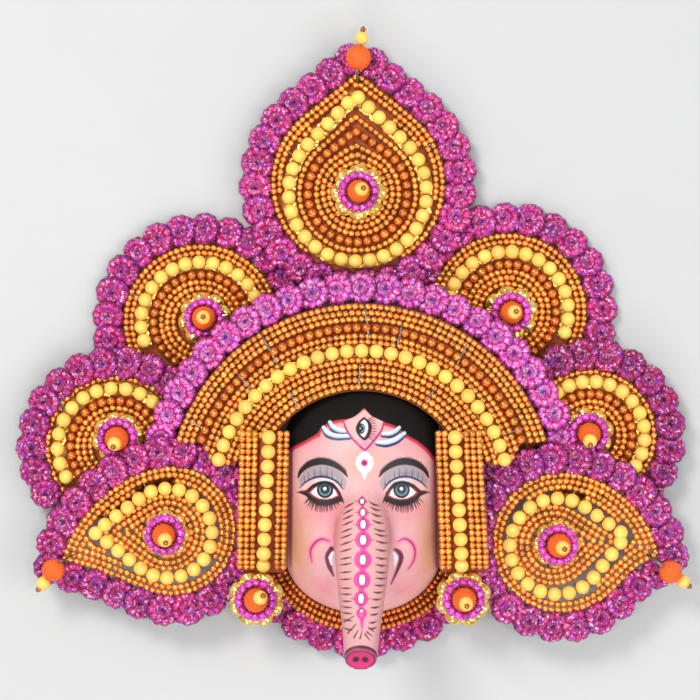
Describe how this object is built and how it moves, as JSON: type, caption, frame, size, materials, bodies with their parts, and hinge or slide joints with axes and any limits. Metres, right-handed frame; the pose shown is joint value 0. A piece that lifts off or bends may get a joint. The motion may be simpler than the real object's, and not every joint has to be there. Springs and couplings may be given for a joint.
{
  "type": "ganesha dance mask",
  "caption": "Hollow painted elephant-deity face mask with trunk, under a fan-shaped crown of bead-strung panels edged with foil rosettes.",
  "frame": {"origin": "centre of the whole mask's outline, on the surface that it lies on", "axes": "+X to the right of the face as a viewer sees it, +Y towards the crown's point, +Z out of the face; the mask lies on its back"},
  "size_m": [0.3719, 0.3474, 0.1108],
  "materials": {
    "painted_papier_mache": "hand painted, satin varnish",
    "dark_card": "matte maroon",
    "copper_beads": "metallised, glossy",
    "yellow_beads": "slightly frosted",
    "orange_beads": "textured",
    "purple_beads": "foil lined, glossy",
    "glitter_foil": "holographic glitter",
    "gold_foil": "metallised, mirror gloss",
    "thin_wire": "drawn wire"
  },
  "bodies": {
    "root": {"arch_card": "dark_card", "arch_rosettes": "glitter_foil", "arch_rows_inner": "copper_beads", "arch_rows_outer": "copper_beads", "arch_yellow_string": "yellow_beads", "chin_rosettes": "glitter_foil", "column_left_inner": "copper_beads", "column_left_outer": "copper_beads", "column_left_yellow_string": "yellow_beads", "column_right_inner": "copper_beads", "column_right_outer": "copper_beads", "column_right_yellow_string": "yellow_beads", "ear_left_boss": "gold_foil", "ear_left_finial": "orange_beads", "ear_left_rosettes": "glitter_foil", "ear_left_rows_inner": "copper_beads", "ear_left_rows_outer": "copper_beads", "ear_left_yellow_string": "yellow_beads", "ear_right_boss": "gold_foil", "ear_right_finial": "orange_beads", "ear_right_rosettes": "glitter_foil", "ear_right_rows_inner": "copper_beads", "ear_right_rows_outer": "copper_beads", "ear_right_yellow_string": "yellow_beads", "earring_left": "gold_foil", "earring_right": "gold_foil", "face_shell": "painted_papier_mache", "jaw_rows": "copper_beads", "middle_left_boss": "gold_foil", "middle_left_card": "dark_card", "middle_left_rosettes": "glitter_foil", "middle_left_rows_inner": "copper_beads", "middle_left_rows_outer": "copper_beads", "middle_left_yellow_string": "yellow_beads", "middle_right_boss": "gold_foil", "middle_right_card": "dark_card", "middle_right_rosettes": "glitter_foil", "middle_right_rows_inner": "copper_beads", "middle_right_rows_outer": "copper_beads", "middle_right_yellow_string": "yellow_beads", "top_boss": "gold_foil", "top_card": "dark_card", "top_finial": "orange_beads", "top_rosettes": "glitter_foil", "top_rows_inner": "copper_beads", "top_rows_outer": "copper_beads", "top_yellow_string": "yellow_beads", "upper_left_boss": "gold_foil", "upper_left_card": "dark_card", "upper_left_rosettes": "glitter_foil", "upper_left_rows_inner": "copper_beads", "upper_left_rows_outer": "copper_beads", "upper_left_yellow_string": "yellow_beads", "upper_right_boss": "gold_foil", "upper_right_card": "dark_card", "upper_right_rosettes": "glitter_foil", "upper_right_rows_inner": "copper_beads", "upper_right_rows_outer": "copper_beads", "upper_right_yellow_string": "yellow_beads"}
  },
  "joints": []
}
